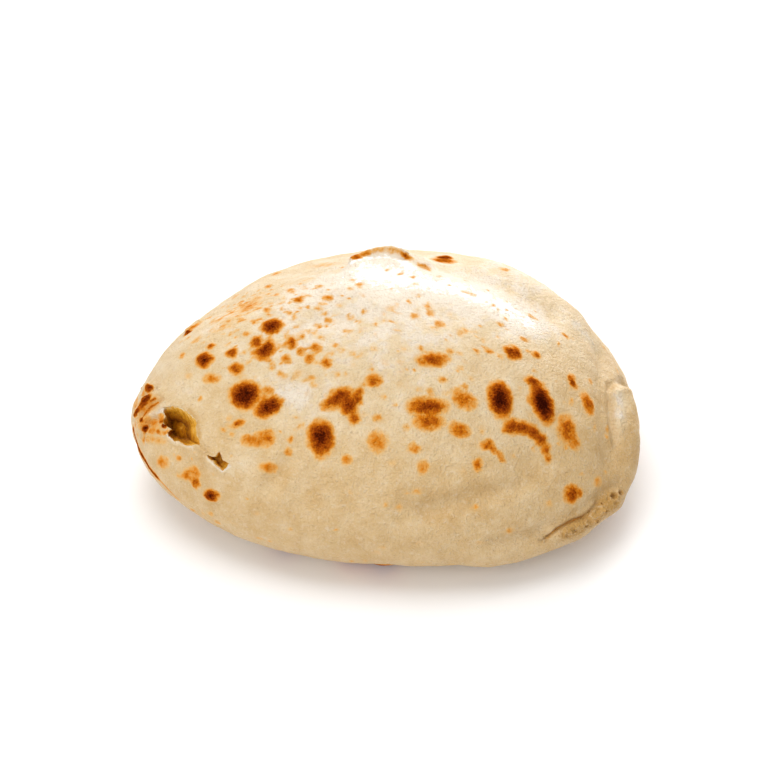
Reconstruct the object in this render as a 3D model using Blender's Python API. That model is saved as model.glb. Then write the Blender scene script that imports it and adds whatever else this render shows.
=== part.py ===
"""Cheese naan: one puffed teardrop flatbread, torn open near its narrow end, with a layer of melted cheese inside.

The bread is one solid. Two tears in its top skin open into a shallow steam pocket. The melted cheese, a domed
layer that runs through the whole bread under its top skin, is that pocket's floor.

Frame: metres, +Z up, origin at the centre of the base. +X points to the broad end, and the tears are on the
-X, -Y side. A place on the skin is given as (azimuth, latitude) in degrees, as on a globe: azimuth 0 is the
broad end, latitude 0 is the seam where the top skin meets the base, and latitude 90 is the top of the dome.
"""

import math

import bmesh
import bpy
import numpy as np
from mathutils import Vector, noise

MM = 0.001

# Driving dimensions of the bread.
LENGTH = 250 * MM
WIDTH = 200 * MM
HEIGHT = 94 * MM
SEAM_HEIGHT = 24 * MM
NARROW_END_LIFT = 0.45  # share by which the seam rises at the narrow end
TAPER = 0.08  # share by which the broad end is wider than the middle
BEND_NARROW, BEND_BROAD = 20 * MM, 6 * MM  # how far each end bends towards -Y
APEX_SHIFT = Vector((-4, 3)) * MM
BASE_SINK = 8 * MM  # how far the underside's curve would pass below the flat base

# Swells of the seam's outline: (azimuth, width in degrees, share).
OUTLINE_SWELLS = ((-30, 32, 0.04), (150, 26, -0.05), (-150, 30, -0.03), (30, 25, -0.02))

# Relief of the skin: (route of places, reach, rise). Negative rises are creases and dents.
BROAD_RELIEF = (
    # the second hump at the back of the broad end
    (((47, 47), (30, 45), (18, 38)), 15.0 * MM, 4.5 * MM),
    # the far side's slope, and soft hollows and swells of the dome
    (((115, 48), (90, 48), (58, 52)), 22.0 * MM, -5.0 * MM),
    (((150, 52), (128, 58), (112, 66)), 22.0 * MM, -4.5 * MM),
    (((-143, 80),), 16.0 * MM, -2.0 * MM),
    (((-160, 48), (-172, 40)), 12.0 * MM, 2.0 * MM),
    (((100, 20), (60, 14)), 12.0 * MM, -2.0 * MM),
)
FOLDS = (
    # the rolled rim at the broad end, and the valley behind it
    (((-9, 22), (-17, 17), (-25, 9), (-31, 4)), 8.0 * MM, 4.6 * MM),
    (((4, 31), (-10, 33), (-22, 28), (-30, 19)), 6.0 * MM, -2.4 * MM),
    # the valley before the second hump
    (((52, 66), (30, 60), (12, 48)), 8.0 * MM, -2.4 * MM),
    # the raised wrinkle along the top of the far side
    (((104, 69), (92, 65), (76, 65), (60, 68)), 4.5 * MM, 3.0 * MM),
    # the dome tucked over a blistered lip of the base
    (((-66, 5), (-53, 6), (-44, 7), (-36, 9), (-31, 8)), 3.6 * MM, -2.6 * MM),
    (((-66, -13), (-56, -12), (-44, -9), (-36, -3)), 9.5 * MM, 3.8 * MM),
    # soft folds and dents
    (((-84, 20), (-72, 24), (-60, 27), (-50, 30)), 8.0 * MM, -2.0 * MM),
    (((-121, 36), (-117, 31)), 8.0 * MM, -1.6 * MM),
    (((-113, 28), (-106, 22)), 9.0 * MM, -1.4 * MM),
    # the lifted edge of skin between the two tears, and the scorched knob at the narrow tip
    (((-143, 24), (-138, 25), (-134, 24)), 4.0 * MM, 1.2 * MM),
    (((-168, 16), (-172, 24)), 7.0 * MM, 2.4 * MM),
)
UNDULATION, UNDULATION_SCALE, UNDULATION_SEED = 1.1 * MM, 34 * MM, 17

# The large scorched blisters: (azimuth, latitude, diameter in mm).
BLISTERS = (
    (-107, 42, 15), (-102, 54, 18), (-73, 52, 18), (-47, 53, 14), (-36, 47, 16), (-137, 48, 15),
    (-126, 48, 12), (-152, 62, 11), (-169, 67, 9), (-168, 48, 9), (-59, 68, 13), (-23, 59, 9),
    (-59, 55, 11), (-48, 42, 13), (-46, 36, 9), (-37, 36, 12), (-90, 43, 9), (-91, 62, 8),
    (-132, 12, 9), (-46, 19, 10), (-20, 43, 8), (-23, 37, 9), (-123, 38, 12), (54, 64, 12),
)
BLISTER_RISE = 0.09  # share of its diameter
BLISTER_EDGE = 0.55  # its bell's reach, as a share of its diameter

# The steam pocket is a lens under the skin.
POCKET_PLACE = (-143, 28)
POCKET_SPAN = (24, 14)  # half-spans in degrees
POCKET_ROOF = 2.6 * MM  # the skin's thickness over it
POCKET_DEPTH = 8.5 * MM  # reaches into the cheese layer, which is cut out whole

# Each tear: its place, and its torn outline in mm as (along the skin, up the slope).
TEARS = {
    "large_tear": ((-150, 29.7), (
        (-11.5, -7), (-12.2, -1), (-14, 2), (-12, 4), (-8.5, 6.5), (-4, 8), (0, 7.6), (3.5, 6.9),
        (7, 5.4), (8.3, 2.8), (9.5, 0), (12, -1.5), (14.5, -3.5), (11, -5.7), (7.5, -6.8), (5, -7),
        (1, -8.5), (-1, -7.9), (-3.5, -9), (-6.2, -7.6), (-7.5, -5)),
    ),
    "small_tear": ((-132.5, 25.6), (
        (-6.5, 1), (-2.8, 1.3), (-1, 4.5), (1.2, 2.6), (3.5, 0.7), (6.2, -1.4), (3.5, -3.6),
        (1.6, -3), (0.2, -1.6), (-1.6, -2.1), (-3.5, -0.6)),
    ),
}
TEAR_ABOVE, TEAR_BELOW = 8 * MM, 8 * MM  # the cutter's reach outside the skin, and below the pocket's roof

# The melted cheese, a domed layer under the top skin.
CHEESE_DEPTH = 9 * MM  # from the skin's outside to the layer's top
CHEESE_THICKNESS = 5 * MM
CHEESE_LATITUDES = (14, 24, 36, 48, 60, 72, 82)  # its rings of vertices, from its edge upwards
CHEESE_EDGE_TURN = 3  # degrees by which its rounded edge stands out below the first ring
FIT_GAP = 0.4 * MM

SKIN_CELLS, POCKET_CELLS = 27, 8  # mesh cells along each side of the six-sided spheres
CHEESE_SIDES = 48
FLAT_FADE = 6 * MM  # relief fades out over this height above the base

# Colours as linear RGB.
DOUGH_COLOUR = (0.72, 0.53, 0.31, 1)
CHEESE_COLOUR = (0.55, 0.27, 0.03, 1)


def smooth_step(low, high, value):
    share = np.clip((value - low) / (high - low), 0, 1)
    return share * share * (3 - 2 * share)


def bell(distance, reach):
    return np.exp(-((distance / reach) ** 2))


def turn_from(azimuth, place_deg):
    """The signed angle from a place to each azimuth, in degrees, from -180 to 180."""
    return (np.degrees(azimuth) - place_deg + 180) % 360 - 180


def seam_outline(azimuth):
    """The seam seen from above: a teardrop whose two ends bend towards -Y."""
    swell = 1 + sum(share * bell(turn_from(azimuth, at), wide) for at, wide, share in OUTLINE_SWELLS)
    x = LENGTH / 2 * swell * np.cos(azimuth)
    y = WIDTH / 2 * swell * np.sin(azimuth) * (1 + TAPER * np.cos(azimuth))
    bend = np.where(x < 0, BEND_NARROW, BEND_BROAD) * (x / (LENGTH / 2)) ** 2
    return x, y - bend


def smooth_skin(azimuth, latitude):
    """Points of the bread's skin without its relief, for arrays of azimuth and latitude in radians."""
    x, y = seam_outline(azimuth)
    level, climb = np.cos(latitude).clip(0), np.abs(np.sin(latitude))
    top = latitude > 0
    reach = np.where(top, level**0.95, level**0.7)
    seam = SEAM_HEIGHT * (1 + NARROW_END_LIFT * bell(turn_from(azimuth, 180), 50))
    z = np.where(top, seam + (HEIGHT - seam) * climb**1.05, seam - (seam + BASE_SINK) * climb)
    lean = smooth_step(0, 1, np.where(top, climb, 0))
    return np.stack([x * reach + APEX_SHIFT.x * lean, y * reach + APEX_SHIFT.y * lean, z.clip(0)], axis=1)


def skin_at(places):
    """Points of the smooth skin at (azimuth, latitude) places in degrees."""
    azimuth, latitude = np.radians(np.array(places, float)).T
    return smooth_skin(azimuth, latitude)


def outward_at(places, step_deg=0.5):
    """The smooth skin's outward unit normals at places."""
    places = np.array(places, float)
    along = skin_at(places + (step_deg, 0)) - skin_at(places - (step_deg, 0))
    up = skin_at(places + (0, step_deg)) - skin_at(places - (0, step_deg))
    normals = np.cross(along, up)
    return normals / np.linalg.norm(normals, axis=1)[:, None]


def distance_to_route(points, route):
    """Each point's distance to a route drawn on the skin through its places."""
    if len(route) == 1:
        return np.linalg.norm(points - skin_at(route), axis=1)
    stops = np.linspace(0, len(route) - 1, 4 * (len(route) - 1) + 1)
    places = np.array([np.interp(stops, range(len(route)), column) for column in np.array(route).T]).T
    line = skin_at(places)
    nearest = np.full(len(points), np.inf)
    for start, end in zip(line, line[1:]):
        run = end - start
        share = np.clip((points - start) @ run / (run @ run), 0, 1)[:, None]
        nearest = np.minimum(nearest, np.linalg.norm(points - start - share * run, axis=1))
    return nearest


def relief_rise(points, relief):
    """How far the routes of a relief push each point of the smooth skin outwards."""
    return sum(height * bell(distance_to_route(points, route), reach) for route, reach, height in relief)


def blister_rise(points):
    rise = np.zeros(len(points))
    for azimuth, latitude, diameter in BLISTERS:
        away = distance_to_route(points, ((azimuth, latitude),))
        rise += BLISTER_RISE * diameter * MM * bell(away, BLISTER_EDGE * diameter * MM)
    return rise


def undulation(points):
    offset = Vector((UNDULATION_SEED,) * 3)
    return UNDULATION * np.array([noise.noise(Vector(p) / UNDULATION_SCALE + offset) for p in points])


def link_mesh(name, built):
    """Turns a bmesh into an object in the scene."""
    mesh = bpy.data.meshes.new(name)
    built.to_mesh(mesh)
    built.free()
    part = bpy.data.objects.new(name, mesh)
    bpy.context.scene.collection.objects.link(part)
    return part


def six_sided_sphere(name, cells):
    """A mesh object that is a unit sphere made of six square patches, and its vertices' directions."""
    built = bmesh.new()
    bmesh.ops.create_cube(built, size=2)
    bmesh.ops.subdivide_edges(built, edges=built.edges[:], cuts=cells - 1, use_grid_fill=True)
    for vertex in built.verts:
        # the tangent makes the cells' angles equal
        vertex.co = Vector([math.tan(c * math.pi / 4) for c in vertex.co]).normalized()
    directions = np.array([vertex.co[:] for vertex in built.verts])
    bmesh.ops.triangulate(built, faces=built.faces[:], quad_method="FIXED")
    return link_mesh(name, built), directions


def move_vertices(part, points):
    part.data.vertices.foreach_set("co", np.asarray(points, np.float32).ravel())
    part.data.update()


def globe_angles(directions):
    return np.arctan2(directions[:, 1], directions[:, 0]), np.arcsin(directions[:, 2].clip(-1, 1))


def make_skin():
    """The whole bread's outer form, with its relief, on a flat base."""
    skin, directions = six_sided_sphere("naan_bread", SKIN_CELLS)
    points = smooth_skin(*globe_angles(directions))
    move_vertices(skin, points)
    normals = np.array([vertex.normal[:] for vertex in skin.data.vertices])
    rise = relief_rise(points, BROAD_RELIEF + FOLDS) + blister_rise(points) + undulation(points)
    points = points + normals * (rise * smooth_step(0, FLAT_FADE, points[:, 2]))[:, None]
    points[:, 2] = points[:, 2].clip(0)
    move_vertices(skin, points)
    return skin


def make_pocket():
    """The cutter for the steam pocket: a lens whose roof follows the skin."""
    pocket, directions = six_sided_sphere("pocket_cutter", POCKET_CELLS)
    places = np.array(POCKET_PLACE) + directions[:, :2] * POCKET_SPAN
    depth = POCKET_ROOF + POCKET_DEPTH * (-directions[:, 2]).clip(0)
    roof_gap = POCKET_ROOF * 0.15 * directions[:, 2].clip(0)  # keeps the roof's rim from folding flat
    move_vertices(pocket, skin_at(places) - outward_at(places) * (depth - roof_gap)[:, None])
    return pocket


def make_tear(name, place, outline_mm):
    """The cutter for one tear: its torn outline pushed straight through the skin."""
    centre = Vector(skin_at([place])[0])
    outward = Vector(outward_at([place])[0])
    along = Vector((0, 0, 1)).cross(outward).normalized()
    up_slope = outward.cross(along)
    built = bmesh.new()
    rim = [
        built.verts.new(centre + (along * a + up_slope * u) * MM + outward * TEAR_ABOVE)
        for a, u in outline_mm
    ]
    lid = built.faces.new(rim)
    pushed = bmesh.ops.extrude_face_region(built, geom=[lid])["geom"]
    inner = [v for v in pushed if isinstance(v, bmesh.types.BMVert)]
    bmesh.ops.translate(built, verts=inner, vec=-outward * (TEAR_ABOVE + POCKET_ROOF + TEAR_BELOW))
    bmesh.ops.recalc_face_normals(built, faces=built.faces[:])
    return link_mesh(name, built)


def make_cheese(name, grow):
    """The cheese layer, or with grow above 0 the space that it needs in the bread."""
    azimuths = np.linspace(-180, 180, CHEESE_SIDES, endpoint=False)
    top, bottom = CHEESE_DEPTH - grow, CHEESE_DEPTH + CHEESE_THICKNESS + grow
    grow_turn = math.degrees(grow / HEIGHT)
    edge = CHEESE_LATITUDES[0] - CHEESE_EDGE_TURN - grow_turn
    section = [(latitude, top) for latitude in reversed(CHEESE_LATITUDES)]
    section += [(edge, (top + bottom) / 2)]
    section += [(latitude, bottom) for latitude in CHEESE_LATITUDES]
    built = bmesh.new()
    rings = []
    for latitude, depth in section:
        places = [(azimuth, latitude) for azimuth in azimuths]
        points = skin_at(places)
        inwards = depth - relief_rise(points, BROAD_RELIEF)
        points = points - outward_at(places) * inwards[:, None]
        rings.append([built.verts.new(point) for point in points])
    for inner, outer in zip(rings, rings[1:]):
        for i in range(CHEESE_SIDES):
            # triangles, so that the cheese and its space in the bread have the same facets
            built.faces.new((inner[i - 1], outer[i - 1], outer[i]))
            built.faces.new((inner[i - 1], outer[i], inner[i]))
    for ring in (rings[0], rings[-1]):
        hub = built.verts.new(sum((v.co for v in ring), Vector()) / CHEESE_SIDES)
        for i in range(CHEESE_SIDES):
            built.faces.new((ring[i - 1], ring[i], hub))
    bmesh.ops.recalc_face_normals(built, faces=built.faces[:])
    return link_mesh(name, built)


def cut(part, cutter):
    cutter.hide_render = True
    cutter.display_type = "WIRE"
    modifier = part.modifiers.new(cutter.name, "BOOLEAN")
    modifier.operation = "DIFFERENCE"
    modifier.object = cutter


def centre_on_base(parts, outer):
    """Moves everything so that the origin is at the centre of the outer form's base."""
    corners = np.array(outer.bound_box)
    low, high = corners.min(axis=0), corners.max(axis=0)
    for part in parts:
        part.location = (-(low[0] + high[0]) / 2, -(low[1] + high[1]) / 2, 0)


def finish(part, name, colour, roughness):
    material = bpy.data.materials.new(name)
    material.use_nodes = True
    surface = material.node_tree.nodes["Principled BSDF"]
    surface.inputs["Base Color"].default_value = colour
    surface.inputs["Roughness"].default_value = roughness
    surface.inputs["Metallic"].default_value = 0
    part.data.materials.append(material)
    part.data.shade_smooth()
    part.data.set_sharp_from_angle(angle=math.radians(50))


def main():
    for old in list(bpy.data.objects):
        bpy.data.objects.remove(old)
    bread = make_skin()
    cheese = make_cheese("cheese_filling", 0)
    cutters = [make_pocket(), make_cheese("cheese_space", FIT_GAP)]
    cutters += [make_tear(name, place, outline) for name, (place, outline) in TEARS.items()]
    for cutter in cutters:
        cut(bread, cutter)
    centre_on_base([bread, cheese, *cutters], bread)
    finish(bread, "dough", DOUGH_COLOUR, 0.8)
    finish(cheese, "cheese", CHEESE_COLOUR, 0.45)


main()
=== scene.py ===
"""The looks of the cheese naan: blistered skin, torn pocket and melted cheese, with floor, light and camera.

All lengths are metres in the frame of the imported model: +Z up, the base on z = 0, +X towards the broad end.
A place on the skin is (azimuth, latitude) in degrees, as in the part's source. A place that was read from the
photograph is (x, y) in pixels of its 768 x 768 frame, and is put on the skin by a ray from the camera.
"""

import math

import bmesh
import bpy
import numpy as np
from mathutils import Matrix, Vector, noise
from mathutils.bvhtree import BVHTree

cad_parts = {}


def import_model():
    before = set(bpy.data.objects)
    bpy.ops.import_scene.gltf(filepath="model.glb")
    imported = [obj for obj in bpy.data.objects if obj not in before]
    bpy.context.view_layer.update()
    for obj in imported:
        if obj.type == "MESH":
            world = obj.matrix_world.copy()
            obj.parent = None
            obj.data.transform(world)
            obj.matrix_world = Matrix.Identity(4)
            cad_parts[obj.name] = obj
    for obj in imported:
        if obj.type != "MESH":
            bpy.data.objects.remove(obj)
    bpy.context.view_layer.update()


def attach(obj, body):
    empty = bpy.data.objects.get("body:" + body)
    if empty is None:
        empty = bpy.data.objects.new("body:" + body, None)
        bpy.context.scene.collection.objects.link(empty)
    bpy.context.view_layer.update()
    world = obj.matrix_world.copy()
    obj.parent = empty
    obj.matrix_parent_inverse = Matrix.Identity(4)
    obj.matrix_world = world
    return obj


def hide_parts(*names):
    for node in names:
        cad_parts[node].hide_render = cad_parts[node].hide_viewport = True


MM = 0.001

# ---------------------------------------------------------------- camera
IMAGE_SIZE = 768
CAMERA_TARGET = Vector((-2.2, 6.1, 36)) * MM
CAMERA_ELEVATION = 42
CAMERA_DISTANCE = 950 * MM
CAMERA_LENS, CAMERA_SENSOR = 89, 36
NEAREST_ROUNDS = 6  # for a ray that just misses the skin

# ---------------------------------------------------------------- form, as in the part's source
LENGTH = 250 * MM
WIDTH = 200 * MM
HEIGHT = 94 * MM
SEAM_HEIGHT = 24 * MM
NARROW_END_LIFT, NARROW_END_REACH = 0.45, 50
TOP_FULLNESS, BASE_FULLNESS, TOP_CLIMB = 0.95, 0.7, 1.05
TAPER = 0.08
BEND_NARROW, BEND_BROAD = 20 * MM, 6 * MM
APEX_SHIFT = Vector((-4, 3)) * MM
BASE_SINK = 8 * MM
CENTRING = np.array((-2.17, 0.06, 0)) * MM  # puts the origin at the centre of the base
OUTLINE_SWELLS = ((-30, 32, 0.04), (150, 26, -0.05), (-150, 30, -0.03), (30, 25, -0.02))
BROAD_RELIEF = (
    (((47, 47), (30, 45), (18, 38)), 15.0 * MM, 4.5 * MM),
    (((115, 48), (90, 48), (58, 52)), 22.0 * MM, -5.0 * MM),
    (((150, 52), (128, 58), (112, 66)), 22.0 * MM, -4.5 * MM),
    (((-143, 80),), 16.0 * MM, -2.0 * MM),
    (((-160, 48), (-172, 40)), 12.0 * MM, 2.0 * MM),
    (((100, 20), (60, 14)), 12.0 * MM, -2.0 * MM),
)
FOLDS = (
    (((-9, 22), (-17, 17), (-25, 9), (-31, 4)), 8.0 * MM, 4.6 * MM),
    (((4, 31), (-10, 33), (-22, 28), (-30, 19)), 6.0 * MM, -2.4 * MM),
    (((52, 66), (30, 60), (12, 48)), 8.0 * MM, -2.4 * MM),
    (((104, 69), (92, 65), (76, 65), (60, 68)), 4.5 * MM, 3.0 * MM),
    (((-66, 5), (-53, 6), (-44, 7), (-36, 9), (-31, 8)), 3.6 * MM, -2.6 * MM),
    (((-66, -13), (-56, -12), (-44, -9), (-36, -3)), 9.5 * MM, 3.8 * MM),
    (((-84, 20), (-72, 24), (-60, 27), (-50, 30)), 8.0 * MM, -2.0 * MM),
    (((-121, 36), (-117, 31)), 8.0 * MM, -1.6 * MM),
    (((-113, 28), (-106, 22)), 9.0 * MM, -1.4 * MM),
    (((-143, 24), (-138, 25), (-134, 24)), 4.0 * MM, 1.2 * MM),
    (((-168, 16), (-172, 24)), 7.0 * MM, 2.4 * MM),
)
UNDULATION, UNDULATION_SCALE, UNDULATION_SEED = 1.1 * MM, 34 * MM, 17
ROUTE_STEPS = 4  # points on a route's line from each of its places to the next
FLAT_FADE = 6 * MM

POCKET_PLACE = (-143, 28)
CHEESE_DEPTH = 9 * MM
CHEESE_THICKNESS = 5 * MM
CHEESE_LATITUDES = (14, 24, 36, 48, 60, 72, 82)
CHEESE_EDGE_TURN = 3
FIT_GAP = 0.4 * MM
CHEESE_SIDES = 48

# ---------------------------------------------------------------- fine form of the skin
SKIN_CELLS = 88  # mesh cells along each side of the six-sided sphere
ROUGH_CELLS = 40  # the same for the rough skin that the camera's rays meet first
SKIN_LIFT = 0.28  # draws the sphere's cells towards its top, which is what shows
# Places in pixels round which the mesh is finer: (x, y, radius, longest edge).
FINE_PLACES = (
    (182, 425, 17 * MM, 0.4 * MM), (217, 461, 9 * MM, 0.4 * MM), (147, 405, 14 * MM, 0.4 * MM),
    (598, 512, 13 * MM, 0.4 * MM), (614, 497, 6 * MM, 0.25 * MM), (570, 526, 12 * MM, 0.4 * MM),
    (383, 254, 15 * MM, 0.4 * MM), (622, 410, 20 * MM, 0.8 * MM),
)
FINE_ROUNDS = 4
# The crease over the blistered lip, in pixels.
LIP_CREASE = ((543, 541), (550, 535), (557, 528.5), (571, 521), (583, 517))
# Folds and creases in pixels: (route, reach, rise).
FINE_FOLDS = (
    # crinkles of the scorched knob
    (((152, 382), (146, 388)), 2.0 * MM, 1.0 * MM),
    (((156, 387), (148, 393), (141, 399)), 1.3 * MM, -1.5 * MM),
    (((160, 392), (151, 400), (142, 409), (137, 416)), 2.0 * MM, 1.5 * MM),
    (((163, 400), (153, 407), (144, 415)), 1.3 * MM, -1.5 * MM),
    (((166, 404), (157, 411), (148, 418), (141, 427)), 2.0 * MM, 1.9 * MM),
    (((158, 419), (150, 425), (144, 431)), 1.3 * MM, -1.4 * MM),
    (((161, 428), (152, 433), (146, 440)), 2.0 * MM, 1.0 * MM),
    (((146, 428), (144, 441)), 1.1 * MM, -1.2 * MM),
    (((133, 408), (131, 420), (133, 432)), 6.0 * MM, 1.6 * MM),
    # the inner edge and the blunt top end of the rolled rim
    (((610, 388), (610, 405), (612, 425), (616, 446)), 1.9 * MM, -2.4 * MM),
    (((616, 394), (618, 410), (620, 430)), 2.6 * MM, 1.0 * MM),
    (((616, 393), (627, 391), (637, 393)), 2.2 * MM, 1.5 * MM),
    (((610, 384), (624, 382), (640, 384)), 2.0 * MM, -2.6 * MM),
    # the crease over the blistered lip
    (LIP_CREASE, 0.8 * MM, -2.3 * MM),
    (((585, 515.5), (590, 511), (597, 503)), 1.0 * MM, -1.6 * MM),
    (((552, 526), (566, 517), (580, 511), (590, 504)), 3.2 * MM, 1.5 * MM),
    (((560, 534), (574, 526), (586, 521), (596, 515), (604, 508)), 2.0 * MM, 1.2 * MM),
    (((622, 508), (612, 518), (600, 529)), 8.0 * MM, -6.2 * MM),
    # the raised flake on the narrow end's skyline
    (((188, 331), (195, 325), (203, 320)), 1.4 * MM, 1.3 * MM),
    # the skin's overlap between the two tears
    (((192, 443), (199, 447), (205, 452)), 1.2 * MM, 0.9 * MM),
    (((200, 443), (205, 447), (209, 451)), 1.0 * MM, -0.7 * MM),
    # soft wrinkles of the front
    (((258, 478), (268, 464), (279, 450)), 3.4 * MM, 1.4 * MM),
    (((278, 498), (290, 482), (302, 468)), 4.0 * MM, 1.3 * MM),
    (((270, 489), (281, 474), (291, 459)), 3.0 * MM, -0.7 * MM),
    (((425, 512), (452, 501), (482, 494), (520, 487)), 4.5 * MM, -1.8 * MM),
    (((445, 492), (475, 484), (510, 477)), 5.0 * MM, 1.2 * MM),
    (((318, 322), (336, 318), (352, 322)), 6.0 * MM, -1.0 * MM),
)
# Folds as (route of places, reach, rise): the flap on the top wrinkle, its tail, and a low swell in front.
FAR_FOLDS = (
    (((105, 66.5), (98, 65.5), (90, 65), (82, 65), (76, 66), (71, 68)), 1.25 * MM, 2.6 * MM),
    (((71, 68), (64, 70), (56, 71)), 1.4 * MM, 1.3 * MM),
    (((108, 73), (96, 71.5), (84, 71), (72, 72), (60, 74)), 6.0 * MM, 1.9 * MM),
)
# Burst bubbles in pixels: (x, y, radius).
BUBBLES = (
    (613.6, 496, 1.9 * MM), (620.4, 493, 1.7 * MM), (605.2, 511, 1.0 * MM), (597, 521, 1.2 * MM),
    (586, 525, 0.9 * MM), (602, 504, 0.8 * MM), (575, 530, 1.0 * MM),
)
BUBBLE_RIM, BUBBLE_SINK = 0.45, 1.5  # height and depth, as shares of the radius
BUBBLE_RIM_REACH, BUBBLE_SINK_REACH = 0.45, 0.7
# Irregular swell of the skin: (height, size of its waves).
SKIN_NOISE = ((0.55 * MM, 11 * MM), (0.24 * MM, 4.4 * MM), (0.1 * MM, 2.2 * MM))
# Places in pixels with little sharp ridges: (line, reach, height, size).
CRINKLES = (
    (((154, 388), (148, 404), (150, 428)), 6.5 * MM, 0.8 * MM, 3.2 * MM),
    (((566, 534), (586, 524), (602, 512), (616, 498)), 3.8 * MM, 1.1 * MM, 2.5 * MM),
)
CRINKLE_LEVEL, CRINKLE_GAIN, CRINKLE_LEAST = 0.45, 2, 0.02
NOISE_SEED, CRINKLE_SEED, WARP_SEED = 5, 8, 1795491635

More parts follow.
